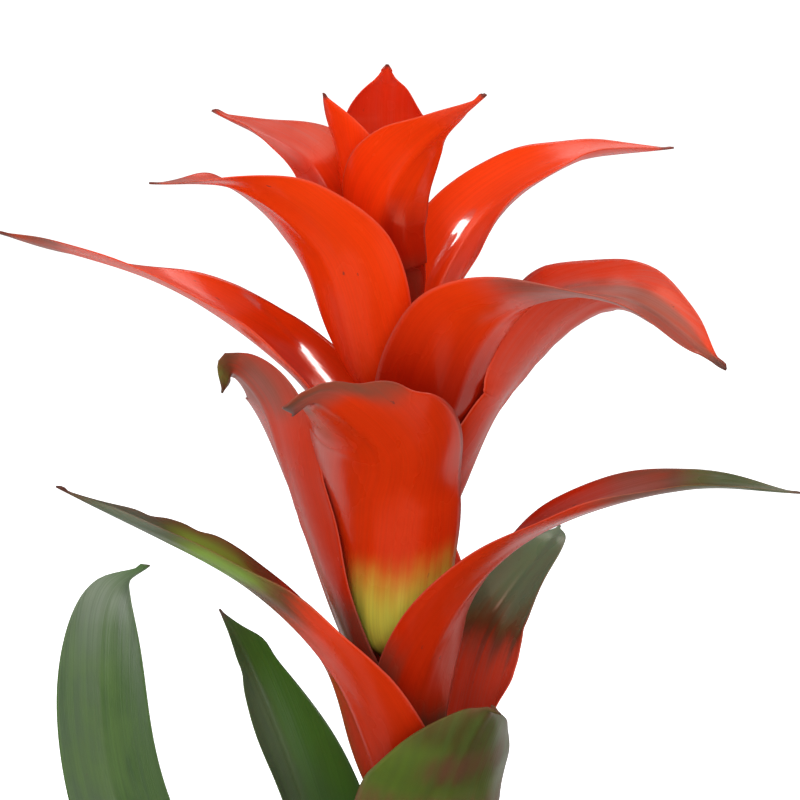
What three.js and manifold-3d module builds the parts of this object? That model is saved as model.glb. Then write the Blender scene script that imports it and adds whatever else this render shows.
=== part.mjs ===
// Guzmania: a flowering bromeliad cut at the crown, standing on a level surface.
// Units are millimetres, +Z is up, and the origin is the middle of the flat cut under the crown.
// A viewer stands on the -Y side. A turn of 0 points right, 90 away from the viewer and -90 towards them.
//
// A short woody crown carries a rosette of green strap leaves. A flower stem rises from the crown, leans a
// little to the left, and carries red bracts in a spiral. A small head of flower buds sits on the stem's tip,
// inside the innermost bracts. Every leaf, bract, stem and bud head is a solid of its own on what carries it.
import * as THREE from "three";
import { mergeVertices } from "three/addons/utils/BufferGeometryUtils.js";
import Module from "manifold-3d";

// Driving sizes of the crown, the flower stem and the bud head
const CROWN = { foot: 19, belly: 22, bellyHeight: 8, top: 9, height: 58, sides: 32 };
const STEM = { foot: 6.6, tip: 4.4, top: 392, lean: 3, sides: 24 };
const BUDS = { cushion: 4.6, count: 6, radius: 1.7, length: 24, ring: 2.6, splay: 4, sides: 10 };
const SEAT_GAP = 0.3;

// Blades: thickness, width left at the tip, and how finely the two kinds are faceted along and across
const BLADE = { thickness: 0.8, tipWidth: 1.4 };
// The sheath is the first stretch, which wraps its carrier, and opening is how fast it leaves it
const BRACT = { sheath: 14, opening: 0.17, base: 0.5, point: 1.3, along: 14, across: 6 };
const LEAF = { sheath: 12, opening: 0.4, base: 0.8, point: 1.1, along: 12, across: 6 };

// Bracts from the tip of the flower stem downwards.
// Each row: name, width, the share of the length at which it is widest, fullness of the outline beyond,
// cup of the channel in degrees at mid length and at the tip, roll in degrees at mid length and at the tip,
// root as [turn, height], and then the midrib as [turn, reach, height].
const BRACTS = [
  ["bract_01_top", 31, 0.43, 3.7, [96, 63], [-4, -14], [100, 384],
    [[99.5, 8.5, 409.5], [100, 15, 433], [101, 2, 450.5]]],
  ["bract_02_left", 38.5, 0.39, 3.4, [86, 99], [6, -1], [-158.5, 376],
    [[-153.5, 14.5, 409.5], [-158, 17.5, 427.5], [-147.5, 24, 444.5]]],
  ["bract_03_front", 32, 0.43, 2.9, [94, 54], [-5, 8], [-100.5, 368],
    [[-110.5, 12.5, 388.5], [-109.5, 17, 406.5], [-74, 24.5, 426], [-51.5, 47, 444]]],
  ["bract_04_back_left", 42, 0.46, 1.9, [81, 45], [-17, 6], [162.5, 360],
    [[161, 13.5, 388], [157.5, 28, 420], [162.5, 59, 437.5]]],
  ["bract_05_right", 40.5, 0.36, 3.1, [62, 48], [3, -2], [44.5, 352],
    [[44, 15.5, 377.5], [31.5, 32, 400], [16, 57.5, 416], [12, 90, 418]]],
  ["bract_06_back", 36, 0.42, 2, [80, 60], [0, 0], [112, 344],
    [[112, 17, 374], [110, 36, 390], [108, 60, 394], [106, 86, 384]]],
  ["bract_07_front_left", 48, 0.49, 2.3, [87, 20], [6, 0], [-134.5, 334],
    [[-140, 16, 353], [-137.5, 32, 396], [-144.5, 58.5, 419.5], [-146.4, 88, 424]]],
  ["bract_08_far_left", 43, 0.43, 1.8, [64, 0], [-7, 40], [177.5, 311],
    [[167, 26, 346], [179.5, 41, 363.5], [-177.5, 74.5, 387.5], [173.3, 127.5, 403.5]]],
  ["bract_09_right_arch", 56.5, 0.33, 2.5, [97, 38], [-2, 20], [-56, 322],
    [[-55, 18.5, 338.5], [-42.5, 39, 373.5], [-35.1, 83, 381.5], [-30.3, 112.5, 359.5]]],
  ["bract_10_back", 40, 0.42, 2, [80, 60], [0, 0], [98, 300],
    [[98, 17, 330], [98, 36, 350], [98, 66, 356], [97, 96, 342]]],
  ["bract_11_right", 43.5, 0.53, 3.5, [87, 30], [-14, -33], [-32, 288],
    [[-19.5, 16.5, 317.5], [10.5, 31.5, 343.5], [-8.5, 65.5, 373.5], [-0.7, 94, 357.5]]],
  ["bract_12_front", 58.5, 0.48, 3, [138, 73], [1, 12], [-131, 248],
    [[-136, 19.5, 271.5], [-114, 28, 315], [-101.5, 41.5, 336], [-113.5, 66.5, 357.5], [-123.5, 62, 351.5]]],
  ["bract_13_back", 36, 0.42, 2, [80, 60], [0, 0], [94, 236],
    [[94, 17, 264], [94, 38, 282], [94, 66, 286], [94, 98, 272]]],
  ["bract_14_left", 45.5, 0.42, 7.5, [27, 43], [13, 35], [170.5, 222],
    [[173, 24, 271], [174.5, 38, 320], [-179.5, 45.5, 349], [178.5, 54, 357.5], [-177, 57.5, 351]]],
  ["bract_15_front_right", 30.5, 0.48, 2.8, [75, 83], [13, 1], [-87, 210],
    [[-101.5, 18.5, 249], [-69, 28, 281], [-41, 48.5, 307], [-24.6, 92, 321], [-20.9, 127.5, 318.5]]],
  ["bract_16_back_right", 53, 0.29, 2.2, [61, 16], [4, 2], [44, 199],
    [[53, 16.5, 235], [50, 31, 264.5], [42, 56.5, 289.5], [48.5, 71.5, 292]]],
  ["bract_17_front_left", 47.5, 0.27, 2.1, [79, 150], [-15, -6], [-112.5, 188],
    [[-122.5, 22, 223], [-135.5, 36.5, 264], [-150.5, 58, 294], [-156, 117.5, 333]]],
  ["bract_18_front", 58, 0.44, 3.3, [49, 89], [13, -2], [-88.5, 168],
    [[-83, 24, 210], [-75, 29.5, 227.5], [-64, 48, 255], [-60, 48.5, 253.5]]],
  ["bract_19_back", 38, 0.42, 2, [80, 50], [0, 0], [85, 150],
    [[85, 17, 184], [85, 40, 198], [85, 80, 190]]],
  ["bract_20_right", 38, 0.42, 2, [80, 50], [0, 0], [10, 134],
    [[10, 17, 168], [10, 46, 186], [10, 94, 178]]],
  ["bract_21_front_left", 38, 0.42, 2, [80, 50], [0, 0], [-118, 118],
    [[-118, 17, 152], [-118, 44, 182], [-118, 86, 186]]],
  ["bract_22_back", 38, 0.42, 2, [80, 50], [0, 0], [65, 102],
    [[65, 17, 136], [65, 40, 160], [65, 84, 168]]],
  ["bract_23_front_right", 38, 0.42, 2, [80, 50], [0, 0], [-40, 86],
    [[-40, 17, 120], [-40, 44, 152], [-40, 92, 166]]],
];

// Rosette: leaves follow the golden angle from the lowest and outermost to the highest and innermost.
// The two shapes are [reach, height] of the midrib, and every leaf is a blend of them.
const ROSETTE = {
  count: 16,
  firstTurn: -114.5,
  turnStep: 137.5,
  lowestRoot: 5,
  highestRoot: 48,
  outer: [[48, 46], [112, 84], [182, 66], [240, 0.35]],
  inner: [[26, 100], [60, 168], [120, 194], [200, 160]],
  resting: 5,
  outerWidth: 42,
  innerWidth: 37,
  widest: 0.42,
  fullness: 2.6,
  cup: [60, 50],
};

// The two tall leaves at the left, which take their places in the spiral from these rows
const TALL_LEAVES = [
  ["leaf_08_left_tall", 35.5, 0.47, 6.2, [40, 82], [-26, -22], [125.5, 25],
    [[129.4, 83, 92], [130.4, 174.5, 176], [125.7, 209, 224], [122.3, 221.5, 243.5], [118.3, 223, 251]]],
  ["leaf_16_left_upright", 54, 0.47, 2.8, [77, 61], [-6, -5], [147, 48],
    [[157.5, 24, 113], [156.5, 50.5, 206], [150.5, 75.5, 252.5], [152.7, 85, 270]]],
];

const COLORS = {
  crown: 0x5a4a2c,
  stem: 0x8a9a3c,
  buds: 0xe8d27a,
  bractTop: 0xe63a1c,
  bractLow: 0xc8341c,
  bractGreen: 0x6d7a34,
  leaf: 0x3f6a35,
  leafOuter: 0x35592f,
};

const wasm = await Module();
wasm.setup();
const { degToRad, lerp, clamp, smoothstep } = THREE.MathUtils;

// A point given by its turn about the upright axis, its reach from that axis and its height
function polar([turn, reach, height]) {
  const angle = degToRad(turn);
  return new THREE.Vector3(reach * Math.cos(angle), reach * Math.sin(angle), height);
}

function crownRadius(height) {
  if (height < CROWN.bellyHeight) {
    return lerp(CROWN.foot, CROWN.belly, height / CROWN.bellyHeight);
  }
  const share = (height - CROWN.bellyHeight) / (CROWN.height - CROWN.bellyHeight);
  return lerp(CROWN.belly, CROWN.top, share);
}

function stemRadius(height) {
  const share = clamp((height - CROWN.height) / (STEM.top - CROWN.height), 0, 1);
  return lerp(STEM.foot, STEM.tip, share);
}

// A solid turned about the upright axis from [radius, height] pairs, closed at both ends
function turned(outline, sides) {
  const points = outline.map(([radius, height]) => new THREE.Vector2(radius, height));
  return new THREE.LatheGeometry(points, sides).rotateX(Math.PI / 2);
}

// Share of the full width at a place along the blade, 0 at the root and 1 at the tip
function widthShare(place, widest, fullness, kind) {
  if (place < widest) {
    return lerp(kind.base, 1, Math.sin((Math.PI / 2) * (place / widest)));
  }
  const beyond = (place - widest) / (1 - widest);
  return Math.pow(1 - Math.pow(beyond, fullness), kind.point);
}

// Value that holds its middle figure over the first half and moves to its tip figure over the second
function midToTip([middle, tip], place) {
  return lerp(middle, tip, clamp(2 * place - 1, 0, 1));
}

// Direction the blade's upper face looks in: towards the axis where it climbs, upward where it spreads
function facing(point, along, place, hug, roll) {
  const inward = new THREE.Vector3(-point.x, -point.y, 0).normalize();
  const level = Math.hypot(along.x, along.y);
  const face = inward.clone().multiplyScalar(along.z).add(new THREE.Vector3(0, 0, level));
  face.addScaledVector(along, -face.dot(along)).normalize();
  const turn = degToRad(roll[0] * 4 * place * (1 - place) + roll[1] * place * (2 * place - 1));
  face.applyAxisAngle(along, turn);
  return face.multiplyScalar(1 - hug).addScaledVector(inward, hug).normalize();
}

// A leaf or bract as a thin closed solid: a channel along the midrib, wrapped round its carrier at the root
function bladeGeometry(row, kind, carrierRadius) {
  const [, width, widest, fullness, cup, roll, [turn, height], path] = row;
  const seat = carrierRadius(height) + SEAT_GAP + BLADE.thickness / 2 + 0.3;
  const knots = [
    [turn, seat, height],
    [turn, seat + kind.sheath * kind.opening, height + kind.sheath],
    ...path,
  ];
  const midrib = new THREE.CatmullRomCurve3(knots.map(polar));
  const length = midrib.getLength();
  const upper = [];
  const lower = [];
  for (let i = 0; i <= kind.along; i += 1) {
    const place = i / kind.along;
    const point = midrib.getPointAt(place);
    const along = midrib.getTangentAt(place);
    const hug = 1 - smoothstep(place * length, kind.sheath, 3 * kind.sheath);
    const face = facing(point, along, place, hug, roll);
    const side = along.clone().cross(face).normalize();
    const breadth = Math.max(width * widthShare(place, widest, fullness, kind), BLADE.tipWidth);
    const wrap = Math.hypot(point.x, point.y) + Math.pow((place * length) / 20, 2);
    const channel = degToRad(midToTip(cup, place)) / breadth;
    const bend = Math.pow(Math.pow(1 / Math.max(wrap, 1), 4) + Math.pow(channel, 4), 0.25);
    for (let j = 0; j <= kind.across; j += 1) {
      const angle = (j / kind.across - 0.5) * breadth * bend;
      const spot = point.clone();
      spot.addScaledVector(side, Math.sin(angle) / bend);
      spot.addScaledVector(face, (1 - Math.cos(angle)) / bend);
      const outward = face.clone().multiplyScalar(Math.cos(angle));
      outward.addScaledVector(side, -Math.sin(angle));
      upper.push(spot.clone().addScaledVector(outward, BLADE.thickness / 2));
      lower.push(spot.clone().addScaledVector(outward, -BLADE.thickness / 2));
    }
  }
  return closedSheet(upper, lower, kind.along, kind.across);
}

// Two matching grids of points joined along their rims into one closed skin
function closedSheet(upper, lower, rows, columns) {
  const positions = [...upper, ...lower].flatMap((p) => [p.x, p.y, p.z]);
  const under = upper.length;
  const at = (i, j) => i * (columns + 1) + j;
  const indices = [];
  const quad = (a, b, c, d) => indices.push(a, b, c, a, c, d);
  for (let i = 0; i < rows; i += 1) {
    for (let j = 0; j < columns; j += 1) {
      const corners = [at(i, j), at(i, j + 1), at(i + 1, j + 1), at(i + 1, j)];
      quad(...corners);
      const [a, b, c, d] = corners.map((index) => index + under);
      indices.push(a, c, b, a, d, c);
    }
    quad(at(i, 0), at(i + 1, 0), at(i + 1, 0) + under, at(i, 0) + under);
    quad(at(i, columns), at(i, columns) + under, at(i + 1, columns) + under, at(i + 1, columns));
  }
  for (let j = 0; j < columns; j += 1) {
    quad(at(0, j), at(0, j) + under, at(0, j + 1) + under, at(0, j + 1));
    quad(at(rows, j), at(rows, j + 1), at(rows, j + 1) + under, at(rows, j) + under);
  }
  const geometry = new THREE.BufferGeometry();
  geometry.setAttribute("position", new THREE.Float32BufferAttribute(positions, 3));
  geometry.setIndex(indices);
  geometry.computeVertexNormals();
  return geometry;
}

// Rosette leaf number k of the spiral, written like a row of the bract table
function rosetteRow(k) {
  const share = k / (ROSETTE.count - 1);
  const turn = ROSETTE.firstTurn + k * ROSETTE.turnStep;
  const root = lerp(ROSETTE.lowestRoot, ROSETTE.highestRoot, share);
  const blend = k < ROSETTE.resting ? 0.03 * k : share;
  const path = ROSETTE.outer.map(([reach, height], i) => {
    const [innerReach, innerHeight] = ROSETTE.inner[i];
    const last = i === ROSETTE.outer.length - 1;
    const rise = k < ROSETTE.resting && last ? 0 : blend;
    return [turn, lerp(reach, innerReach, blend), lerp(height, innerHeight, rise)];
  });
  const name = `leaf_${String(k + 1).padStart(2, "0")}`;
  const width = lerp(ROSETTE.outerWidth, ROSETTE.innerWidth, share);
  return [name, width, ROSETTE.widest, ROSETTE.fullness, ROSETTE.cup, [0, 0], [turn, root], path];
}

// A ball-nosed bud standing on the cushion at the stem's tip
function budSolid(k) {
  const angle = (k / BUDS.count) * 2 * Math.PI;
  const outline = [
    [0, 0],
    [BUDS.radius, 0],
    [BUDS.radius * 1.15, BUDS.length * 0.55],
    [BUDS.radius * 0.7, BUDS.length * 0.88],
    [0, BUDS.length],
  ];
  const bud = turned(outline, BUDS.sides);
  bud.rotateY(degToRad(k === 0 ? 0 : BUDS.splay));
  bud.translate(k === 0 ? 0 : BUDS.ring, 0, 0);
  return bud.rotateZ(angle);
}

// A three.js geometry as a solid that can be joined to others
function toSolid(geometry) {
  const bare = new THREE.BufferGeometry();
  bare.setAttribute("position", geometry.getAttribute("position"));
  bare.setIndex(geometry.getIndex());
  const merged = mergeVertices(bare, 1e-4);
  return new wasm.Manifold(new wasm.Mesh({
    numProp: 3,
    vertProperties: merged.attributes.position.array,
    triVerts: new Uint32Array(merged.index.array),
  }));
}

function fromSolid(solid) {
  const mesh = solid.getMesh();
  const geometry = new THREE.BufferGeometry();
  geometry.setAttribute("position", new THREE.BufferAttribute(new Float32Array(mesh.vertProperties), 3));
  geometry.setIndex(new THREE.BufferAttribute(new Uint32Array(mesh.triVerts), 1));
  geometry.computeVertexNormals();
  return geometry;
}

function named(name, geometry, color, roughness) {
  const mesh = new THREE.Mesh(geometry, new THREE.MeshStandardMaterial({ color, roughness, metalness: 0 }));
  mesh.name = name;
  return mesh;
}

const crownOutline = [
  [0, 0],
  [CROWN.foot, 0],
  [CROWN.belly, CROWN.bellyHeight],
  [CROWN.top, CROWN.height],
  [0, CROWN.height],
];

// The rosette stands upright on the crown
const rosette = new THREE.Group();
rosette.add(named("crown", turned(crownOutline, CROWN.sides), COLORS.crown, 0.9));
for (let k = 0; k < ROSETTE.count; k += 1) {
  const own = rosetteRow(k);
  const row = TALL_LEAVES.find(([name]) => name.startsWith(own[0])) ?? own;
  const color = k < ROSETTE.resting ? COLORS.leafOuter : COLORS.leaf;
  rosette.add(named(row[0], bladeGeometry(row, LEAF, crownRadius), color, 0.42));
}

// The flower spike leans as one about the top of the crown
const spike = new THREE.Group();
spike.position.z = CROWN.height;
spike.rotation.y = -degToRad(STEM.lean);
const upright = new THREE.Group();
upright.position.z = -CROWN.height;
spike.add(upright);

const stemFoot = CROWN.height + SEAT_GAP + STEM.foot * Math.tan(degToRad(STEM.lean));
const stemOutline = [
  [0, stemFoot],
  [stemRadius(stemFoot), stemFoot],
  [stemRadius(200), 200],
  [stemRadius(300), 300],
  [STEM.tip, STEM.top],
  [0, STEM.top],
];
upright.add(named("flower_stem", turned(stemOutline, STEM.sides), COLORS.stem, 0.55));

const cushion = turned([[0, 0], [BUDS.cushion, 0], [BUDS.cushion, 4], [0, 6]], STEM.sides);
const buds = Array.from({ length: BUDS.count }, (_, k) => toSolid(budSolid(k)));
const budHead = fromSolid(wasm.Manifold.union([toSolid(cushion), ...buds]));
budHead.translate(0, 0, STEM.top + SEAT_GAP);
upright.add(named("flower_buds", budHead, COLORS.buds, 0.5));

for (const row of BRACTS) {
  const rootHeight = row[5][1];
  const color = rootHeight < 160 ? COLORS.bractGreen : rootHeight < 230 ? COLORS.bractLow : COLORS.bractTop;
  upright.add(named(row[0], bladeGeometry(row, BRACT, stemRadius), color, 0.3));
}

const plant = new THREE.Group();
plant.add(rosette, spike);

export default plant;
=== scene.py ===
"""Guzmania: a flowering bromeliad with a rosette of green leaves and a spike of glossy red bracts.

The plant stands on the flat cut under its crown and on the tips of its outer leaves. A turn of 0 points
right, 90 away from the viewer and -90 towards them. Blade tables are in millimetres, meshes in metres.
"""

import math
import random

import bmesh
import bpy
from bpy.props import FloatProperty, FloatVectorProperty, IntProperty, PointerProperty
from mathutils import Matrix, Quaternion, Vector


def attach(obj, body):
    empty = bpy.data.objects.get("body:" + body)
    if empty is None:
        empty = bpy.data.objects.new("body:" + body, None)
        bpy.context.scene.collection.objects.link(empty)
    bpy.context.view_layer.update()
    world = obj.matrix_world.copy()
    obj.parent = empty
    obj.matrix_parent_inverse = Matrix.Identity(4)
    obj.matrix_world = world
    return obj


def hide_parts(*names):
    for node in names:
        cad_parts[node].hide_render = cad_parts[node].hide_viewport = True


bl_info = {
    "name": "Guzmania",
    "version": (1, 0, 0),
    "blender": (4, 5, 0),
    "location": "View3D > Sidebar > Guzmania",
    "description": "Builds the leaves, bracts, stem, crown and buds of a guzmania around its fixed frame",
    "category": "Object",
}

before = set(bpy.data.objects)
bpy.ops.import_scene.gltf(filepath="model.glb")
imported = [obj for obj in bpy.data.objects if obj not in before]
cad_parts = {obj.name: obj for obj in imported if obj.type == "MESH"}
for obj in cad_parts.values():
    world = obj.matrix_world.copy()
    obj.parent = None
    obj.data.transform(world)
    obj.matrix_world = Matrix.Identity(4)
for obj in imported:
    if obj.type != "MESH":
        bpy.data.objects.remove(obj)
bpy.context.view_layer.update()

MM = 0.001

# The crown and its husk, the flower stem and the head of buds, in millimetres and degrees
CROWN = {"foot": 19, "belly": 22, "belly_height": 8, "top": 9, "height": 58}
HUSK = {"foot_bevel": 0.6, "top_bevel": 0.4, "ring_step": 5, "ring_depth": 0.5, "fibres": 29,
        "fibre_depth": 0.25}
STEM = {"foot": 6.6, "tip": 4.4, "top": 392, "lean": 3, "between": (200, 300), "ribs": 12, "rib_depth": 0.3}
BUDS = {"cushion": 4.6, "count": 6, "radius": 1.7, "length": 24, "ring": 2.6, "splay": 4}
# How finely each is turned: about how many millimetres apart the points of its outline are, and how many
# faces there are around it
FINENESS = {"crown": (1, 72), "stem": (3, 48), "bud": (1.2, 20), "cushion": (6, 32)}
# Radius and height of the cushion's outline, and of a bud's as shares of its radius and length
CUSHION_OUTLINE = [(0, 0), (BUDS["cushion"], 0), (BUDS["cushion"], 4), (3, 5.4), (0, 6)]
BUD_OUTLINE = [(0, 0), (1, 0), (1.1, 0.3), (1.15, 0.55), (1, 0.75), (0.7, 0.88), (0.3, 0.97), (0, 1)]
SEAT_GAP = 0.3
SOLID_BLADE = 0.8

# The finer blades. standing is how far they stand off their seat, kept the share of the midrib that they run
# along, so that the rounded tip keeps within the solid, unwrap the run over which the wrapped channel opens,
# hug for how many sheaths the upper side still turns inward, body how far across the blade keeps its full
# thickness, crease_reach the half width of the midrib's crease, slim the breadth below which creases and
# folds get shallower, and fold_fade the share of a fold over which its ends fade.
BLADE = {"standing": 0.3, "kept": 0.998, "least_breadth": 0.7, "least_half": 0.2, "unwrap": 20, "hug": 3,
         "body": 0.55, "crease_reach": 2.2, "slim": 20, "fold_fade": 0.12}

# Waves of the margins: how many, how much quicker and weaker the second set is, where along a blade they
# rise and calm, and by how much they calm
RIPPLE = {"waves": (2.2, 3.2), "quicker": 1.9, "weaker": 0.5, "rise": (0.12, 0.45), "calm": (0.8, 1),
          "calming": 0.7}

# How the two kinds of blade leave their carrier and how their outline swells and narrows
BRACT = {"sheath": 14, "opening": 0.17, "base": 0.5, "point": 1.3}
LEAF = {"sheath": 12, "opening": 0.4, "base": 0.8, "point": 1.1}

# Bracts from the tip of the flower stem downwards: width, the share of the length at which it is widest,
# fullness of the outline beyond, cup at mid length and tip, roll at mid length and tip, root as
# (turn, height), and the midrib as (turn, reach, height)
BRACTS = {
    "bract_01_top": (31, 0.43, 3.7, (96, 63), (-4, -14), (100, 384),
        [(99.5, 8.5, 409.5), (100, 15, 433), (101, 2, 450.5)]),
    "bract_02_left": (38.5, 0.39, 3.4, (86, 99), (6, -1), (-158.5, 376),
        [(-153.5, 14.5, 409.5), (-158, 17.5, 427.5), (-147.5, 24, 444.5)]),
    "bract_03_front": (32, 0.43, 2.9, (94, 54), (-5, 8), (-100.5, 368),
        [(-110.5, 12.5, 388.5), (-109.5, 17, 406.5), (-74, 24.5, 426), (-51.5, 47, 444)]),
    "bract_04_back_left": (42, 0.46, 1.9, (81, 45), (-17, 6), (162.5, 360),
        [(161, 13.5, 388), (157.5, 28, 420), (162.5, 59, 437.5)]),
    "bract_05_right": (40.5, 0.36, 3.1, (62, 48), (3, -2), (44.5, 352),
        [(44, 15.5, 377.5), (31.5, 32, 400), (16, 57.5, 416), (12, 90, 418)]),
    "bract_06_back": (36, 0.42, 2, (80, 60), (0, 0), (112, 344),
        [(112, 17, 374), (110, 36, 390), (108, 60, 394), (106, 86, 384)]),
    "bract_07_front_left": (48, 0.49, 2.3, (87, 20), (6, 0), (-134.5, 334),
        [(-140, 16, 353), (-137.5, 32, 396), (-144.5, 58.5, 419.5), (-146.4, 88, 424)]),
    "bract_08_far_left": (43, 0.43, 1.8, (64, 0), (-7, 40), (177.5, 311),
        [(167, 26, 346), (179.5, 41, 363.5), (-177.5, 74.5, 387.5), (173.3, 127.5, 403.5)]),
    "bract_09_right_arch": (56.5, 0.33, 2.5, (97, 38), (-2, 20), (-56, 322),
        [(-55, 18.5, 338.5), (-42.5, 39, 373.5), (-35.1, 83, 381.5), (-30.3, 112.5, 359.5)]),
    "bract_10_back": (40, 0.42, 2, (80, 60), (0, 0), (98, 300),
        [(98, 17, 330), (98, 36, 350), (98, 66, 356), (97, 96, 342)]),
    "bract_11_right": (43.5, 0.53, 3.5, (87, 30), (-14, -33), (-32, 288),
        [(-19.5, 16.5, 317.5), (10.5, 31.5, 343.5), (-8.5, 65.5, 373.5), (-0.7, 94, 357.5)]),
    "bract_12_front": (58.5, 0.48, 3, (138, 73), (1, 12), (-131, 248),
        [(-136, 19.5, 271.5), (-114, 28, 315), (-101.5, 41.5, 336), (-113.5, 66.5, 357.5),
         (-123.5, 62, 351.5)]),
    "bract_13_back": (36, 0.42, 2, (80, 60), (0, 0), (94, 236),
        [(94, 17, 264), (94, 38, 282), (94, 66, 286), (94, 98, 272)]),
    "bract_14_left": (45.5, 0.42, 7.5, (27, 43), (13, 35), (170.5, 222),
        [(173, 24, 271), (174.5, 38, 320), (-179.5, 45.5, 349), (178.5, 54, 357.5), (-177, 57.5, 351)]),
    "bract_15_front_right": (30.5, 0.48, 2.8, (75, 83), (13, 1), (-87, 210),
        [(-101.5, 18.5, 249), (-69, 28, 281), (-41, 48.5, 307), (-24.6, 92, 321), (-20.9, 127.5, 318.5)]),
    "bract_16_back_right": (53, 0.29, 2.2, (61, 16), (4, 2), (44, 199),
        [(53, 16.5, 235), (50, 31, 264.5), (42, 56.5, 289.5), (48.5, 71.5, 292)]),
    "bract_17_front_left": (47.5, 0.27, 2.1, (79, 150), (-15, -6), (-112.5, 188),
        [(-122.5, 22, 223), (-135.5, 36.5, 264), (-150.5, 58, 294), (-156, 117.5, 333)]),
    "bract_18_front": (58, 0.44, 3.3, (49, 89), (13, -2), (-88.5, 168),
        [(-83, 24, 210), (-75, 29.5, 227.5), (-64, 48, 255), (-60, 48.5, 253.5)]),
    "bract_19_back": (38, 0.42, 2, (80, 50), (0, 0), (85, 150),
        [(85, 17, 184), (85, 40, 198), (85, 80, 190)]),
    "bract_20_right": (38, 0.42, 2, (80, 50), (0, 0), (10, 134),
        [(10, 17, 168), (10, 46, 186), (10, 94, 178)]),
    "bract_21_front_left": (38, 0.42, 2, (80, 50), (0, 0), (-118, 118),
        [(-118, 17, 152), (-118, 44, 182), (-118, 86, 186)]),
    "bract_22_back": (38, 0.42, 2, (80, 50), (0, 0), (65, 102),
        [(65, 17, 136), (65, 40, 160), (65, 84, 168)]),
    "bract_23_front_right": (38, 0.42, 2, (80, 50), (0, 0), (-40, 86),
        [(-40, 17, 120), (-40, 44, 152), (-40, 92, 166)]),
}

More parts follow.
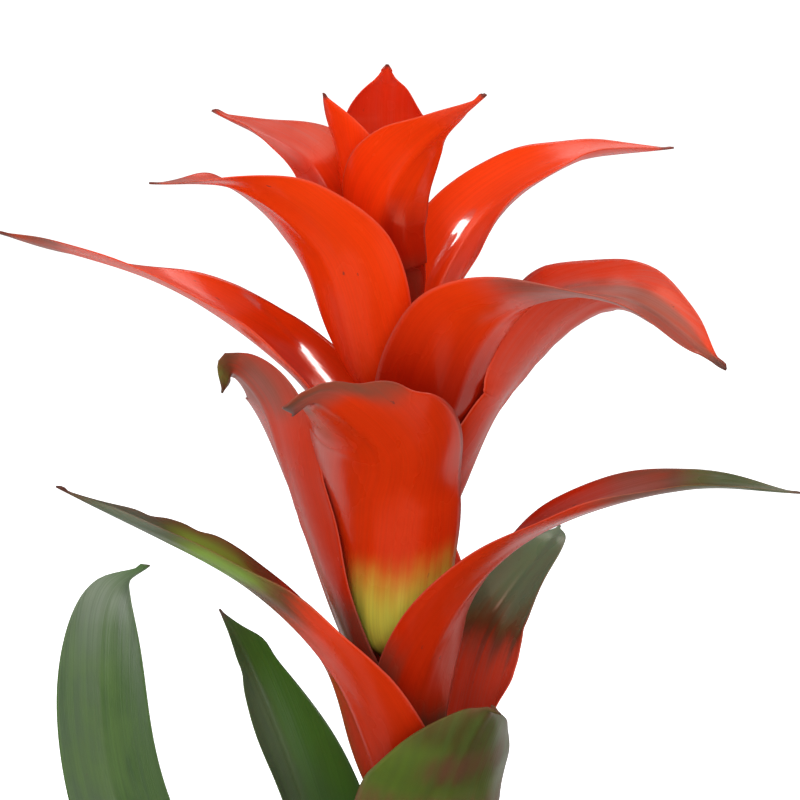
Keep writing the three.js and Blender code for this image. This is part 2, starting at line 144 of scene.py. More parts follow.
# How each bract is coloured and what bends its edge. Places on a blade are given across from -1 to 1 and
# along from 0 at the root to 1 at the tip. green is the shares of the length between which the tone comes
# in, yellow those between which it fades, slant how much earlier that is at one margin, tip the dark point
# in millimetres, warmth how orange and bright the red is, partly the bract's own red and partly painted
# light, a glow on the top bracts and shade on the lower ones, and wave how much the margins ripple. A patch
# is (finish, across, along, strength), a fold (start, end, depth, breadth, gloss), a dent (margin, along,
# length, depth) and a swell (across, along, breadth, length, height), depths in millimetres. Patches of pale
# mauve or grey sheen are a painted reflection of light glancing off a bract, deep patches are painted shade
# low on a bract, and brown patches at the foot of the lower bracts make it darker and browner there. neck is
# the width of the blunt tip and how many widths long its rounding is. ALL reaches past both margins.
ALL = (-1.2, 1.2)
BRACT_LOOKS = {
    "bract_01_top": {
        "warmth_and_light": 1.0, "tip": 0.8, "wave": 0.3, "neck": (4.2, 0.5),
        "patches": [("painted_sheen", (-0.7, 0.7), (0.86, 0.97), 0.3), ("painted_sheen", ALL, (-0.2, 1.2), 0.2),
                    ("brown", ALL, (0.99, 1.1), 0.3)],
        "dents": [(1, 0.93, 0.03, 2.0), (-1, 0.93, 0.03, 2.0)]},
    "bract_02_left": {
        "warmth_and_light": 0.9, "tip": 2.5, "wave": 0.3, "neck": (2.6, 1.5),
        "patches": [("painted_sheen", (-0.2, 0.6), (0.88, 0.96), 0.2)]},
    "bract_03_front": {
        "warmth_and_light": 0.9, "tip": 2, "wave": 0.4, "neck": (3.6, 0.5),
        "patches": [("deep", (-1.2, -0.1), (-0.1, 0.5), 1), ("painted_sheen", (0, 1.2), (0.84, 0.97), 0.25),
                    ("brown", (-1.2, 0), (-0.1, 0.25), 0.3)],
        "folds": [((-0.62, 0.08), (-0.5, 0.62), 0.3, 1.1, 0)]},
    "bract_04_back_left": {
        "warmth_and_light": 0.58, "tip": 3, "wave": 0.6, "neck": (4.0, 0.8),
        "patches": [("painted_sheen", (-0.9, 1.2), (0.66, 1.1), 0.6)]},
    "bract_05_right": {
        "warmth_and_light": 1.0, "tip": 7, "wave": 0.5, "neck": (2.4, 1.4),
        "patches": [("painted_sheen", (0.6, 1.2), (0.15, 0.55), 0.4),
                    ("painted_sheen", ALL, (0.78, 1.1), 0.35)],
        "folds": [((-0.14, 0.16), (-0.26, 0.46), -0.12, 2.2, 1)]},
    "bract_06_back": {"warmth_and_light": 0.6, "tip": 4},
    "bract_07_front_left": {
        "warmth_and_light": 0.9, "tip": 5, "wave": 0.6, "neck": (2.0, 1.2),
        "patches": [("painted_sheen", (0.15, 1.2), (0.68, 0.9), 0.35), ("painted_sheen", (-0.05, 0.25), (0.15, 0.42), 0.2),
                    ("painted_sheen", ALL, (0.87, 0.98), 0.6), ("brown", ALL, (0.9, 1.1), 0.6)],
        "dents": [(-1, 0.9, 0.04, 1.2)]},
    "bract_08_far_left": {
        "warmth_and_light": 1.0, "tip": 10, "wave": 0.5, "neck": (2.0, 2),
        "patches": [("painted_sheen", (-1.2, -0.3), (0.3, 0.84), 0.12), ("painted_sheen", ALL, (0.78, 0.9), 0.4),
                    ("brown", ALL, (0.84, 1.1), 0.85)],
        "folds": [((0.3, 0.23), (0.93, 0.5), -0.12, 2.0, 0.75)]},
    "bract_09_right_arch": {
        "warmth_and_light": 0.75, "tip": 8, "wave": 0.8, "neck": (3.2, 0.8),
        "patches": [("deep", ALL, (-0.1, 0.36), 1), ("brown", (-0.5, 1.2), (0.56, 1.1), 0.7),
                    ("painted_sheen", (-1.2, -0.55), (0.15, 0.48), 0.35), ("painted_sheen", (-0.4, 1.2), (0.52, 0.78), 0.5),
                    ("painted_sheen", ALL, (0.72, 0.93), 0.5), ("painted_sheen", (-1.2, -0.3), (0.5, 0.75), 0.25)],
        "dents": [(1, 0.86, 0.05, -2.2), (1, 0.95, 0.02, 1.4), (-1, 0.9, 0.05, -1.2),
                  (-1, 0.42, 0.09, -3.5)],
        "swells": [(-0.4, 0.43, 0.4, 0.08, 2.4)]},
    "bract_10_back": {"warmth_and_light": 0.6, "tip": 5},
    "bract_11_right": {
        "warmth_and_light": 0.6, "tip": 8, "wave": 0.6,
        "patches": [("painted_sheen", (-1.2, -0.3), (0.15, 0.85), 0.5), ("painted_sheen", ALL, (0.5, 0.95), 0.4),
                    ("deep", ALL, (-0.1, 0.34), 0.5)],
        "folds": [((-0.1, 0.28), (-0.62, 0.78), 0.35, 0.9, 0), ((0.12, 0.38), (-0.25, 0.74), 0.3, 0.8, 0)],
        "dents": [(1, 0.62, 0.07, -2.4)]},
    "bract_12_front": {
        "warmth_and_light": 0.45, "tip": 12, "yellow": (0.2, 0.45), "slant": -0.05, "wave": 0.5,
        "patches": [("brown", (-1.2, -0.6), (0.8, 1.1), 0.75), ("brown", ALL, (0.9, 1.1), 0.7),
                    ("brown", (0.7, 1.2), (0.82, 1.1), 0.6), ("painted_sheen", (0.6, 1.2), (0.38, 0.95), 0.4),
                    ("painted_sheen", (-0.7, 0.6), (0.9, 0.97), 0.6), ("painted_sheen", (0.4, 1.2), (0.92, 1.1), 0.5)],
        "swells": [(0.95, 0.46, 0.3, 0.14, 1.0)],
        "dents": [(-1, 0.775, 0.03, 1.5), (-1, 0.875, 0.025, 2.0), (-1, 0.95, 0.018, -2.5)]},
    "bract_13_back": {"warmth_and_light": 0.3, "tip": 5, "green": (0.9, 1.1)},
    "bract_14_left": {
        "warmth_and_light": 0.5, "tip": 4, "wave": 0.4, "green": (0.92, 0.99),
        "patches": [("brown", ALL, (-0.1, 0.42), 0.75), ("deep", ALL, (-0.1, 0.8), 0.4),
                    ("painted_sheen", ALL, (0.82, 0.92), 0.35), ("brown", ALL, (0.84, 0.95), 0.6)],
        "folds": [((-0.35, 0.4), (0.15, 0.66), 0.25, 1.0, 0)], "dents": [(1, 0.875, 0.018, 1.6)],
        "swells": [(-1, 0.62, 0.4, 0.14, -3.5)]},
    "bract_15_front_right": {
        "warmth_and_light": 0.25, "tip": 5, "wave": 0.6,
        "patches": [("brown", ALL, (-0.1, 0.22), 0.6), ("brown", (0.5, 1.2), (0.1, 0.3), 0.7),
                    ("green", (-1.2, 0.2), (-0.1, 0.2), 0.5),
                    ("painted_sheen", (-1.2, -0.3), (0.27, 0.5), 0.6), ("painted_sheen", (-0.8, -0.1), (0.57, 0.77), 0.75),
                    ("brown", ALL, (0.7, 0.83), 0.9), ("green", ALL, (0.8, 1.1), 0.9),
                    ("painted_sheen", ALL, (0.68, 0.8), 0.15), ("dark", ALL, (0.76, 1.1), 0.7),
                    ("cool", ALL, (0.84, 1.1), 0.5), ("painted_sheen", ALL, (0.93, 0.99), 0.4)],
        "folds": [((-0.05, 0.5), (0.05, 0.97), 0.4, 0.8, 0)]},
    "bract_16_back_right": {
        "warmth_and_light": 0.95, "tip": 2, "green": (0.34, 0.84), "wave": 0.5,
        "patches": [("cool", ALL, (0.6, 1.1), 0.7), ("red", (1.02, 1.2), (0.4, 0.8), 0.5),
                    ("painted_sheen", ALL, (0.1, 0.56), 0.4)],
        "dents": [(1, 0.62, 0.02, 0.7), (1, 0.48, 0.02, 0.8)]},
    "bract_17_front_left": {
        "warmth_and_light": 0.6, "tip": 6, "green": (0.44, 0.78), "wave": 0.9,
        "patches": [("lime", (-0.9, 0.9), (0.64, 0.78), 0.9), ("brown", ALL, (-0.1, 0.22), 0.5),
                    ("painted_sheen", (0.3, 1.2), (0.24, 0.62), 0.15), ("deep", ALL, (-0.1, 0.4), 0.6),
                    ("painted_sheen", ALL, (0.82, 0.93), 0.5),
                    ("lime", ALL, (0.4, 0.62), 0.2),
                    ("cool", ALL, (0.8, 1.1), 0.8), ("dark", ALL, (0.78, 1.1), 0.7),
                    ("brown", ALL, (0.95, 1.1), 0.5), ("brown", (0.8, 1.2), (0.6, 0.9), 0.6)],
        "dents": [(1, 0.74, 0.02, 0.9), (1, 0.83, 0.02, 1.0)]},
    "bract_18_front": {
        "warmth_and_light": 0.4, "tip": 1, "green": (0.3, 0.6), "wave": 0.6,
        "patches": [("lime", (0.3, 1.2), (0.5, 0.8), 0.7), ("lime", (-0.9, 0.3), (0.5, 0.64), 0.4),
                    ("brown", (-0.75, 0.5), (0.66, 0.76), 0.6), ("brown", ALL, (0.2, 0.58), 0.6),
                    ("dark", ALL, (0.45, 1.1), 0.9), ("brown", ALL, (0.95, 1.1), 0.6)],
        "dents": [(-1, 0.93, 0.012, 1.6), (1, 0.955, 0.01, 1.0)]},
    "bract_19_back": {"warmth_and_light": 0.3, "green": (0.1, 0.4)},
    "bract_20_right": {"warmth_and_light": 0.3, "green": (0.1, 0.4)},
    "bract_21_front_left": {"warmth_and_light": 0.3, "green": (0.0, 0.3)},
    "bract_22_back": {"warmth_and_light": 0.3, "green": (0.0, 0.2)},
    "bract_23_front_right": {"warmth_and_light": 0.3, "green": (0.0, 0.2)},
}

# The finishes of patches, each with how softly it ends across and along a blade. The pale sheen finish is a
# painted reflection of light glancing off a blade, and the deep finish is painted shade.
FINISHES = {**dict.fromkeys(("painted_sheen", "brown", "lime", "green", "red", "cool", "dark"), (0.16, 0.045)),
            "deep": (0.16, 0.12)}

# What a bract looks like where its own row says nothing
PLAIN_LOOK = {"green": (2, 3), "yellow": (-2, -1), "slant": 0, "tip": 4, "warmth_and_light": 0.5,
              "wave": 0.8, "neck": (1.4, 1.5), "patches": (), "folds": (), "dents": (), "swells": ()}

PLAIN_LEAF_LOOK = {**PLAIN_LOOK, "wave": 0.7, "tip": 7}

# The two tall leaves that show: a painted grey sheen at the bent end, a lighter half that is painted
# sunlight, and an uneven margin
LEAF_LOOKS = {
    8: {"tip": 1, "wave": 0.3, "neck": (5, 0.5), "patches": [
        ("painted_sheen", ALL, (0.91, 0.975), 0.5), ("painted_sheen", ALL, (0.86, 0.95), 0.15),
        ("lime", ALL, (0.985, 1.1), 1)]},
    16: {"tip": 5, "wave": 0.5, "patches": [
        ("lime", (0.1, 1.2), (0.4, 0.95), 0.9), ("painted_sheen", (-1.2, 0), (0.5, 0.9), 0.12)],
         "dents": [(-1, 0.905, 0.022, 3.0), (1, 0.935, 0.02, -1.6)]},
}

# Rosette: leaves follow the golden angle from the lowest and outermost to the highest and innermost,
# each a blend of two midribs given as (reach, height). resting is how many of them touch the table with
# their tips, and resting_blend how much more of the inner midrib each of these takes than the one before.
ROSETTE = {
    "count": 16,
    "first_turn": -114.5,
    "turn_step": 137.5,
    "lowest_root": 5,
    "highest_root": 48,
    "outer": [(48, 46), (112, 84), (182, 66), (240, 0.35)],
    "inner": [(26, 100), (60, 168), (120, 194), (200, 160)],
    "resting": 5,
    "resting_blend": 0.03,
    "outer_width": 42,
    "inner_width": 37,
    "widest": 0.42,
    "fullness": 2.6,
    "cup": (60, 50),
    "seed": 40,
}

# The two tall leaves at the left, which take their places in the spiral from these rows
TALL_LEAVES = {
    8: ("leaf_08_left_tall", (35.5, 0.47, 6.2, (40, 82), (-26, -22), (125.5, 25),
                               [(129.4, 83, 92), (130.4, 174.5, 176), (125.7, 209, 224),
                                (122.3, 221.5, 243.5), (118.3, 223, 251)])),
    16: ("leaf_16_left_upright", (54, 0.47, 2.8, (77, 61), (-6, -5), (147, 48),
                               [(157.5, 24, 113), (156.5, 50.5, 206), (150.5, 75.5, 252.5),
                                (152.7, 85, 270)])),
}

# Grain of the blades: changes for each millimetre across and along, and for each step of the seed
GRAIN = {
    "lines": (2.1, 0.012, 7.3),
    "streaks": (0.32, 0.012, 3.1),
    "mottle": (0.07, 0.035, 5.7),
    "wax": (1.1, 0.55, 1.9),
    "scars": (0.16, 0.08, 1.7),
    "scar_edges": (2.2, 1.3, 1.0),
    "scarred": (0.05, 0.025, 9.1),
}

# What both kinds of blade hand to their tones, and the colour settings that each kind takes
BLADE_TONES = ["Tone", "Side", "Patch"]
BLADE_GRAIN = ["Lines", "Streaks", "Mottle", "Blemish"]
BRACT_PAINTS = {
    "Deep red": "deep_red", "Bright red": "bright_red", "Bronze": "bronze", "Green": "olive_green",
    "Lime": "lime_green", "Cool": "cool_green", "Yellow": "yellow_green", "Brown": "dry_brown",
    "Bloom": "painted_sheen", "Frost": "painted_green_sheen", "Point": "dark_point", "Margin": "pale_margin",
}
LEAF_PAINTS = {"Green": "leaf_green", "Dark": "leaf_dark", "Light": "leaf_light", "Lime": "leaf_lime",
               "Bloom": "leaf_painted_sheen", "Point": "dark_point"}

# The skins of crown, stem and buds. grain is the changes for each metre along the three axes and the detail,
# shown the noise between which an effect comes in and how much of it shows before and after, and relief the
# height of the lines in metres and their strength.
TISSUES = {
    "crown_husk_skin": {
        "lines": {"grain": ((700, 700, 40), 4), "shown": (0.35, 0.65, 0, 0.5)},
        "patches": {"grain": ((90, 90, 90), 3), "shown": (0.35, 0.7, 0, 1)},
        "relief": (0.0006, 0.7),
        "sockets": {"Roughness": 0.9, "Specular IOR Level": 0.2}},
    "flower_stem_skin": {
        "lines": {"grain": ((900, 900, 12), 3), "shown": (0.35, 0.7, 0, 0.4)},
        "patches": {"grain": ((60, 60, 30), 3), "shown": (0.4, 0.75, 0, 0.6)},
        "relief": (0.0003, 0.6),
        "sockets": {"Roughness": 0.5, "Specular IOR Level": 0.4}},
    "flower_bud_skin": {
        "lines": {"grain": ((1400, 1400, 60), 3), "shown": (0.4, 0.7, 0, 0.3)},
        "patches": {"grain": ((220, 220, 120), 2), "shown": (0.4, 0.7, 0, 0.5)},
        "relief": (0.0002, 0.5),
        "sockets": {"Roughness": 0.42, "Specular IOR Level": 0.4, "Subsurface Weight": 0.1,
                    "Subsurface Scale": 0.002}},
}

# The camera of the photograph, and the soft lights as (setting, place, width, height), in metres
CAMERA = {"place": (-0.017, -1.4772, 0.6055), "tilt": 80, "lens": 216, "sensor": 36}
LIT_PLACE = (0, 0, 0.35)
LIGHTS = {
    "front_light": ("front", (-0.15, -1.78, 0.65), 1.6, 1.6),
    "overhead_light": ("overhead", (0.6, -0.2, 2.0), 1.0, 1.0),
    "side_window": ("side", (-1.25, -0.02, 1.4), 0.9, 0.36),
    "right_window": ("right", (1.22, 0.42, 1.22), 0.35, 0.6),
    "back_light": ("back", (0.1, 1.25, 1.6), 1.0, 1.0),
}


class GuzmaniaSizes(bpy.types.PropertyGroup):
    """Sizes of the blades that a user would change."""

    thickness: FloatProperty(
        name="Blade thickness", description="Thickness of a leaf or bract at its midrib",
        default=0.0007, min=0.0003, max=0.002, unit="LENGTH", precision=5)
    thin_margin: FloatProperty(
        name="Thin margin", description="Thickness left at a blade's margin, as a share",
        default=0.4, min=0.1, max=1, subtype="FACTOR")
    ripple: FloatProperty(
        name="Margin ripple", description="Height of the soft waves along a blade's margins",
        default=0.0011, min=0, max=0.004, unit="LENGTH", precision=5)
    crease: FloatProperty(
        name="Midrib crease", description="Depth of the crease along a blade's midrib",
        default=0.0006, min=0, max=0.002, unit="LENGTH", precision=5)
    steps_along: IntProperty(
        name="Steps along", description="Faces along a blade", default=140, min=24, max=240)
    steps_across: IntProperty(
        name="Steps across", description="Faces across a blade", default=32, min=8, max=48)


def colour(label, words, value):
    return FloatVectorProperty(
        name=label, description=words, default=value, size=4, min=0, max=1, subtype="COLOR")


class GuzmaniaColours(bpy.types.PropertyGroup):
    """Colours of the plant's tissues."""

    # Deep and bright red are mixed by a bract's warmth: partly the bracts' own red, partly painted light, a
    # glow on the top bracts and shade on the lower ones
    deep_red: colour("Deep red", "Red of the lower bracts", (0.42, 0.014, 0.002, 1))
    bright_red: colour("Bright red", "Orange red of the top bracts", (0.94, 0.052, 0.004, 1))
    olive_green: colour("Olive green", "Green that bracts turn to outwards", (0.15, 0.20, 0.045, 1))
    lime_green: colour("Lime green", "Fresh green between red and olive", (0.21, 0.35, 0.05, 1))
    dry_brown: colour("Dry brown", "Brown of ageing patches", (0.15, 0.06, 0.035, 1))
    # Painted sheen: the mauve and the grey stand in for light glancing off the waxy skin of the bracts
    painted_sheen: colour("Bloom", "Mauve waxy bloom on bracts", (0.42, 0.13, 0.11, 1))
    painted_green_sheen: colour("Frost", "Grey waxy bloom on the green parts of bracts", (0.26, 0.29, 0.23, 1))
    bronze: colour("Bronze", "Brown between red and green", (0.16, 0.045, 0.018, 1))
    yellow_green: colour("Yellow green", "Foot of a bract", (0.6, 0.62, 0.075, 1))
    dark_point: colour("Dark point", "Dried point of a blade", (0.085, 0.034, 0.028, 1))
    cool_green: colour("Cool green", "Grey green of a shaded bract", (0.105, 0.165, 0.11, 1))
    pale_margin: colour("Pale margin", "Thin pale edge of a bract", (0.72, 0.20, 0.15, 1))
    leaf_green: colour("Leaf green", "Middle of a leaf", (0.060, 0.125, 0.024, 1))
    leaf_dark: colour("Leaf dark", "Shaded streaks of a leaf", (0.044, 0.090, 0.028, 1))
    leaf_light: colour("Leaf light", "Light streaks of a leaf", (0.085, 0.165, 0.028, 1))
    leaf_lime: colour("Leaf lime", "Sunlit half of a leaf", (0.046, 0.150, 0.006, 1))
    # Painted sheen: grey reflection of light on the bent end of a leaf
    leaf_painted_sheen: colour("Leaf bloom", "Grey bloom on a leaf", (0.30, 0.33, 0.27, 1))
    husk: colour("Husk", "Dry skin of the crown", (0.16, 0.085, 0.035, 1))
    stem_green: colour("Stem green", "Skin of the flower stem", (0.28, 0.33, 0.06, 1))
    bud_cream: colour("Bud cream", "Flower buds", (0.80, 0.66, 0.22, 1))


class GuzmaniaStage(bpy.types.PropertyGroup):
    """Floor and lights around the plant."""

    floor_radius: FloatProperty(
        name="Floor radius", description="Radius of the pale floor", default=14, min=1,
        unit="LENGTH")
    floor_colour: colour("Floor", "Colour of the floor", (0.93, 0.93, 0.93, 1))
    room: FloatProperty(
        name="Room light", description="Even light from the whole room", default=0.2, min=0)
    front: FloatProperty(
        name="Front light", description="Power of the large soft light behind the camera",
        default=24, min=0)
    overhead: FloatProperty(
        name="Overhead light", description="Power of the soft light above the plant", default=13, min=0)
    side: FloatProperty(
        name="Side light", description="Power of the narrow window at the upper left", default=7, min=0)
    right: FloatProperty(
        name="Right light", description="Power of the narrow window at the right", default=4, min=0)
    back: FloatProperty(
        name="Back light", description="Power of the soft light above and behind", default=5, min=0)


def blend(low, high, share):
    return low + (high - low) * share


def soft_step(low, high, value):
    share = min(max((value - low) / (high - low), 0), 1)
    return share * share * (3 - 2 * share)


def polar(turn, reach, height):
    angle = math.radians(turn)
    return Vector((reach * math.cos(angle), reach * math.sin(angle), height))


def crown_radius(height):
    if height < CROWN["belly_height"]:
        return blend(CROWN["foot"], CROWN["belly"], height / CROWN["belly_height"])
    share = (height - CROWN["belly_height"]) / (CROWN["height"] - CROWN["belly_height"])
    return blend(CROWN["belly"], CROWN["top"], share)


def stem_radius(height):
    share = (height - CROWN["height"]) / (STEM["top"] - CROWN["height"])
    return blend(STEM["foot"], STEM["tip"], min(max(share, 0), 1))


def spike_lean():
    """The turn of the whole flower spike about the top of the crown."""
    pivot = Vector((0, 0, CROWN["height"]))
    tilt = Matrix.Rotation(-math.radians(STEM["lean"]), 4, "Y")
    return Matrix.Translation(pivot) @ tilt @ Matrix.Translation(-pivot)


def midrib_stations(knots, count):
    """Evenly spaced places and directions on a smooth curve through the knots, and the curve's length."""
    dense = []
    last = len(knots) - 1
    samples = 80 * last
    for k in range(samples + 1):
        share = last * k / samples
        i = min(int(share), last - 1)
        dense.append(curve_point(knots, i, share - i))
    run = [0.0]
    for before, after in zip(dense, dense[1:]):
        run.append(run[-1] + (after - before).length)
    places = []
    headings = []
    k = 0
    for station in range(count + 1):
        goal = BLADE["kept"] * run[-1] * station / count
        while k < samples - 1 and run[k + 1] < goal:
            k += 1
        share = (goal - run[k]) / (run[k + 1] - run[k])
        places.append(dense[k].lerp(dense[k + 1], share))
        low = max(k - 1, 0)
        high = min(k + 2, samples)
        headings.append((dense[high] - dense[low]).normalized())
    return places, headings, run[-1]


def curve_point(knots, i, share):
    """A place between knots i and i + 1, by centripetal spacing of the knots."""
    b, c = knots[i], knots[i + 1]
    a = knots[i - 1] if i > 0 else 2 * b - c
    d = knots[i + 2] if i + 2 < len(knots) else 2 * c - b
    ab, bc, cd = ((q - p).length ** 0.5 for p, q in ((a, b), (b, c), (c, d)))
    start = ((b - a) / ab - (c - a) / (ab + bc) + (c - b) / bc) * bc
    end = ((c - b) / bc - (d - b) / (bc + cd) + (d - c) / cd) * bc
    square = 3 * (c - b) - 2 * start - end
    cube = 2 * (b - c) + start + end
    return b + start * share + square * share ** 2 + cube * share ** 3


def width_share(place, widest, fullness, kind):
    if place < widest:
        return blend(kind["base"], 1, math.sin(math.pi / 2 * place / widest))
    beyond = (place - widest) / (1 - widest)
    return max(1 - beyond ** fullness, 0) ** kind["point"]


class Blade:
    """The channelled surface of one leaf or bract, seated on its carrier."""

    def __init__(self, row, kind, carrier_radius, stations):
        self.width, self.widest, self.fullness, self.cup, self.roll, (turn, height), path = row
        self.kind = kind
        self.stations = stations
        seat = carrier_radius(height) + SEAT_GAP + SOLID_BLADE / 2 + BLADE["standing"]
        knots = [(turn, seat, height)]
        knots.append((turn, seat + kind["sheath"] * kind["opening"], height + kind["sheath"]))
        knots.extend(path)
        self.places, self.headings, self.length = midrib_stations(
            [polar(*knot) for knot in knots], stations)

    def station(self, i):
        """Place, side, upper direction, breadth and bend of the channel at a station."""
        share = i / self.stations
        place, heading = self.places[i], self.headings[i]
        inward = Vector((-place.x, -place.y, 0)).normalized()
        upper = inward * heading.z + Vector((0, 0, math.hypot(heading.x, heading.y)))
        upper = (upper - heading * upper.dot(heading)).normalized()
        roll = self.roll[0] * 4 * share * (1 - share) + self.roll[1] * share * (2 * share - 1)
        upper = Quaternion(heading, math.radians(roll)) @ upper
        sheath = self.kind["sheath"]
        hug = 1 - soft_step(sheath, BLADE["hug"] * sheath, share * self.length)
        upper = upper.lerp(inward, hug).normalized()
        side = heading.cross(upper).normalized()
        breadth = self.width * width_share(share, self.widest, self.fullness, self.kind)
        breadth = max(breadth, BLADE["least_breadth"])
        wrap = math.hypot(place.x, place.y) + (share * self.length / BLADE["unwrap"]) ** 2
        cup = blend(self.cup[0], self.cup[1], min(max(2 * share - 1, 0), 1))
        channel = math.radians(cup) / breadth
        bend = (wrap ** -4 + channel ** 4) ** 0.25
        return place, side, upper, breadth, bend


def soft_band(ends, softness, value):
    """1 between the two ends, fading to 0 beyond them."""
    low, high = ends
    rise = soft_step(low - softness, low + softness, value)
    return rise * (1 - soft_step(high - softness, high + softness, value))


def patch_shares(look, across, share):
    """How strongly each finish shows at a place on a blade."""
    shares = dict.fromkeys(FINISHES, 0.0)
    for finish, sideways, along, strength in look["patches"]:
        across_soft, along_soft = FINISHES[finish]
        here = strength * soft_band(sideways, across_soft, across) * soft_band(along, along_soft, share)
        shares[finish] = max(shares[finish], here)
    return shares


def margin_dent(look, across, share):
    """How far a margin is drawn in at a place on a blade, in millimetres."""
    depth = 0
    for hand, along, length, inward in look["dents"]:
        if across * hand > 0:
            depth += inward * math.exp(-(((share - along) / length) ** 2))
    return depth * abs(across) ** 3


def fold_depth(look, across, share, breadth):
    """How deep the folds of a blade are at a place on it, in millimetres, and how glossy they are there."""
    depth = gloss = 0
    for (start_across, start), (end_across, end), deep, wide, shine in look["folds"]:
        along = (share - start) / (end - start)
        line = blend(start_across, end_across, min(max(along, 0), 1))
        away = (across - line) * breadth / 2
        near = math.exp(-((away / wide) ** 2)) * soft_band((0, 1), BLADE["fold_fade"], along)
        depth += deep * near
        gloss = max(gloss, shine * near)
    return depth, gloss


def necked(breadth, look, left):
    """The breadth of a blade where left millimetres remain: the tip ends in a short blunt neck."""
    width, rounding = look["neck"]
    rest = 1 - min(left / (width * rounding), 1)
    return max(breadth, width * math.sqrt(1 - rest * rest))


def swell_height(look, across, share):
    """How far a blade bellies out to its under side at a place on it, in millimetres."""
    height = 0
    for at_across, at_share, wide, long, high in look["swells"]:
        away = ((across - at_across) / wide) ** 2 + ((share - at_share) / long) ** 2
        height += high * math.exp(-away)
    return height


def mesh_from(bm, name):
    mesh = bpy.data.meshes.new(name)
    bm.to_mesh(mesh)
    bm.free()
    return mesh


def in_metres(mesh, matrix):
    """The mesh moved to its place in millimetres and then brought to metres."""
    mesh.transform(Matrix.Diagonal((MM, MM, MM, 1)) @ matrix)
    return mesh


def blade_mesh(name, blade, look, sizes, seed):
    """One blade as a grid laid on its channel, with its place and tones kept on its points."""
    draw = random.Random(seed)
    phases = [draw.uniform(0, 2 * math.pi) for _ in range(4)]
    waves = draw.uniform(*RIPPLE["waves"])
    along, across = sizes.steps_along, sizes.steps_across
    bm = bmesh.new()
    bm.loops.layers.uv.new("blade_uv")
    bmesh.ops.create_grid(bm, x_segments=across, y_segments=along, size=0.5, calc_uvs=True)
    layers = {label: bm.verts.layers.float_vector.new(label)
              for label in ("blade_place", "blade_tone", "blade_side", "blade_patch", "blade_skin")}
    weight = bm.verts.layers.deform.verify()
    stations = [blade.station(i) for i in range(along + 1)]
    for vert in bm.verts:
        share = vert.co.y + 0.5
        sideways = 2 * vert.co.x
        far = abs(sideways)
        place, side, upper, breadth, bend = stations[round(share * along)]
        breadth = necked(breadth, look, (1 - share) * blade.length)
        lateral = sideways * max(breadth / 2 - margin_dent(look, sideways, share), BLADE["least_half"])
        angle = lateral * bend
        outward = upper * math.cos(angle) - side * math.sin(angle)
        spot = place + side * (math.sin(angle) / bend) + upper * ((1 - math.cos(angle)) / bend)
        free = soft_step(*RIPPLE["rise"], share) * (1 - RIPPLE["calming"] * soft_step(*RIPPLE["calm"], share))
        hand = 0 if sideways < 0 else 1
        swing = math.sin(2 * math.pi * waves * share + phases[hand])
        quick = math.sin(2 * math.pi * waves * RIPPLE["quicker"] * share + phases[2 + hand])
        swing += RIPPLE["weaker"] * quick
        lift = look["wave"] * sizes.ripple / MM * free * far ** 3 * swing
        slim = min(breadth / BLADE["slim"], 1)
        fold = sizes.crease / MM * math.exp(-((lateral / BLADE["crease_reach"]) ** 2)) * slim
        creased, glossy = fold_depth(look, sideways, share, breadth)
        fold += creased * slim + swell_height(look, sideways, share)
        vert.co = spot + outward * (lift - fold)
        run = share * blade.length
        finish = patch_shares(look, sideways, share)
        point = 1 - soft_step(0.35 * look["tip"], look["tip"], blade.length - run)
        green = max(soft_step(*look["green"], share), finish["green"]) * (1 - finish["red"])
        yellow = 1 - soft_step(*look["yellow"], share - look["slant"] * sideways)
        vert[layers["blade_place"]] = (lateral, run, seed)
        vert[layers["blade_tone"]] = (green, yellow, point)
        # Deep patches lower the warmth: painted shade low on a bract
        vert[layers["blade_side"]] = (far, look["warmth_and_light"] * (1 - finish["deep"]), share)
        vert[layers["blade_patch"]] = (finish["painted_sheen"], finish["brown"], finish["lime"])
        vert[layers["blade_skin"]] = (glossy, finish["cool"], finish["dark"])
        vert[weight][0] = 1 - soft_step(BLADE["body"], 1, far)
    return mesh_from(bm, name)


def add_blade(name, blade, look, sizes, seed, materials, matrix):
    mesh = in_metres(blade_mesh(name, blade, look, sizes, seed), matrix)
    mesh.shade_smooth()
    piece = link_piece(name, mesh, materials)
    piece.vertex_groups.new(name="body_of_blade")
    shell = piece.modifiers.new("Blade thickness", "SOLIDIFY")
    shell.thickness = sizes.thickness
    shell.offset = 0
    shell.use_even_offset = False
    shell.vertex_group = "body_of_blade"
    shell.thickness_vertex_group = sizes.thin_margin
    shell.material_offset = 1
    return piece


def link_piece(name, mesh, materials):
    piece = bpy.data.objects.new(name, mesh)
    bpy.context.scene.collection.objects.link(piece)
    for material in materials:
        mesh.materials.append(material)
    return piece


def place_on_frame(piece, node):
    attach(piece, "root")
    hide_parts(node)


